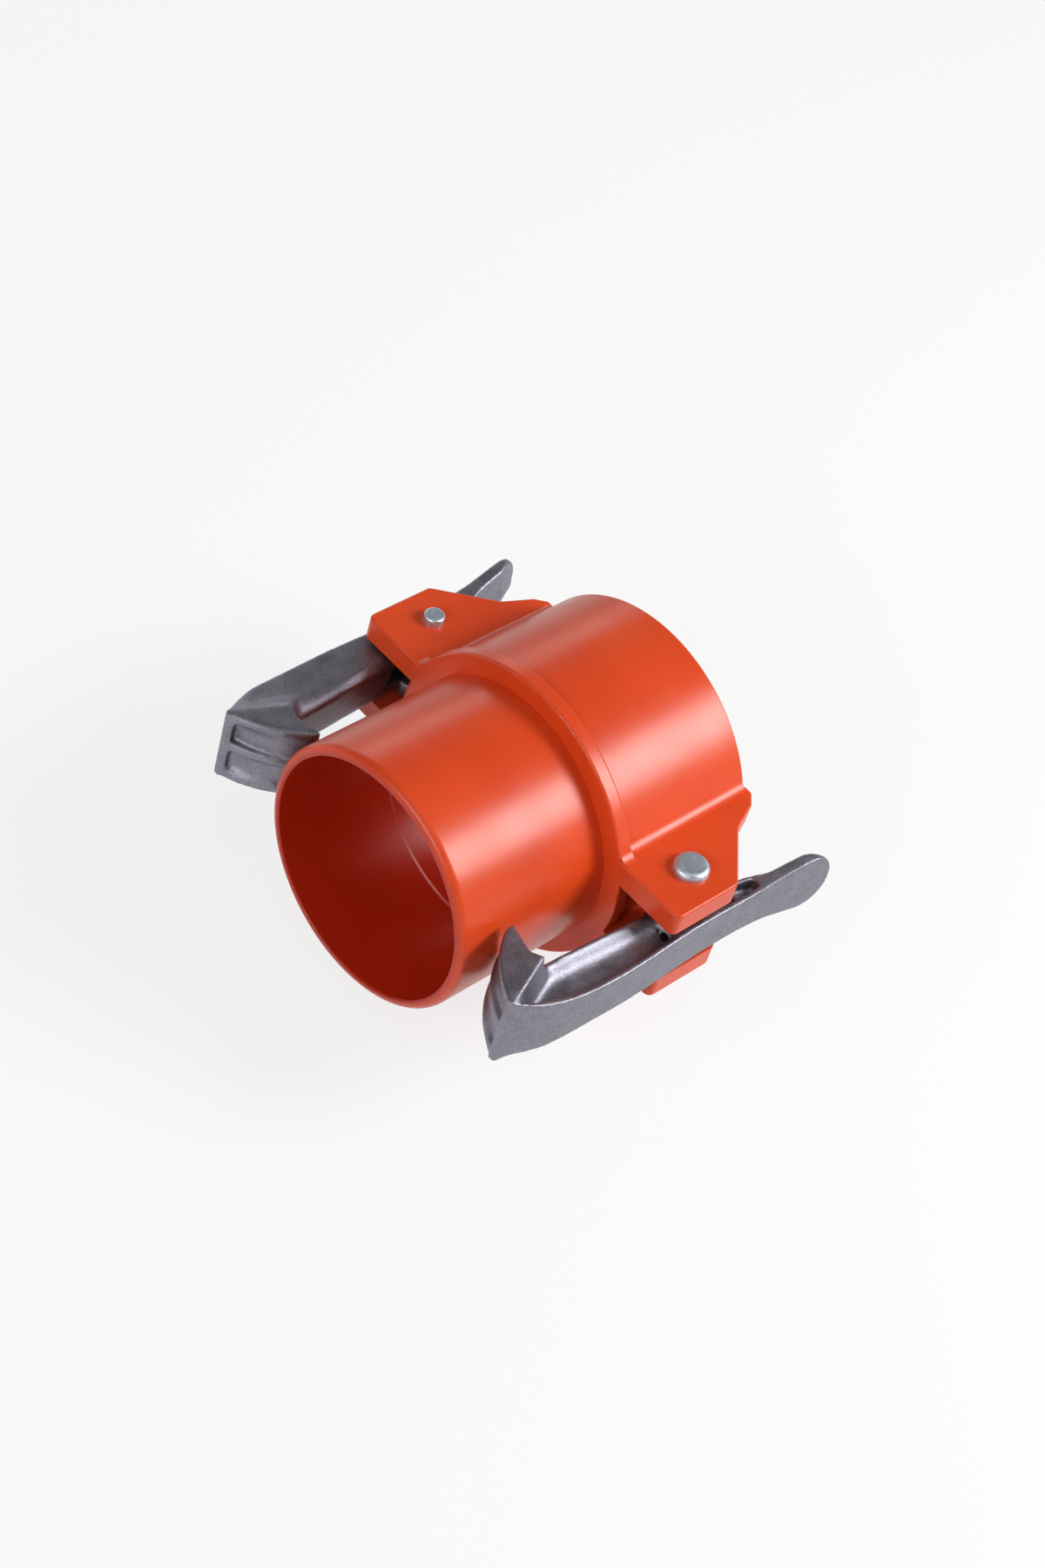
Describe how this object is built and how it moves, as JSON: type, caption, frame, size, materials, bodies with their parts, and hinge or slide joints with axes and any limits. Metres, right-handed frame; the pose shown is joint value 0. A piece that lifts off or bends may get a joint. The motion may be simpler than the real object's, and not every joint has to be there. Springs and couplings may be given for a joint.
{
  "type": "irrigation pipe quick coupling",
  "caption": "Orange plastic pipe coupling with a spigot, a cement socket and sprung cast latch levers hinged on pins between ears.",
  "frame": {"origin": "on the pipe's axis, midway between the two hinge pins", "axes": "+X out of the spigot's mouth along the pipe's axis, +Z along the hinge pins, +Y towards the right lever"},
  "size_m": [0.113, 0.1326, 0.087],
  "materials": {
    "moulded_plastic": "glossy injection moulding",
    "cast_aluminium": "die-cast, fine grain",
    "plated_steel": "zinc plated",
    "spring_steel": "drawn wire"
  },
  "bodies": {
    "coupling": {"coupling_body": "moulded_plastic", "hinge_pin_right": "plated_steel", "hinge_pin_left": "plated_steel", "torsion_spring_right": "spring_steel", "torsion_spring_left": "spring_steel"},
    "lever_right": {"latch_lever_right": "cast_aluminium"},
    "lever_left": {"latch_lever_left": "cast_aluminium"}
  },
  "joints": [
    {"name": "latch_right", "type": "hinge", "parent": "coupling", "child": "lever_right", "pos_m": [0, 0.052, 0], "axis": [0, 0, 1], "range_deg": [0, 24], "stiffness_Nm_per_rad": 1.2, "springref_deg": -9.74, "deforming": ["torsion_spring_right"]},
    {"name": "latch_left", "type": "hinge", "parent": "coupling", "child": "lever_left", "pos_m": [0, -0.052, 0], "axis": [0, 0, -1], "range_deg": [0, 24], "stiffness_Nm_per_rad": 1.2, "springref_deg": -9.74, "deforming": ["torsion_spring_left"]}
  ]
}
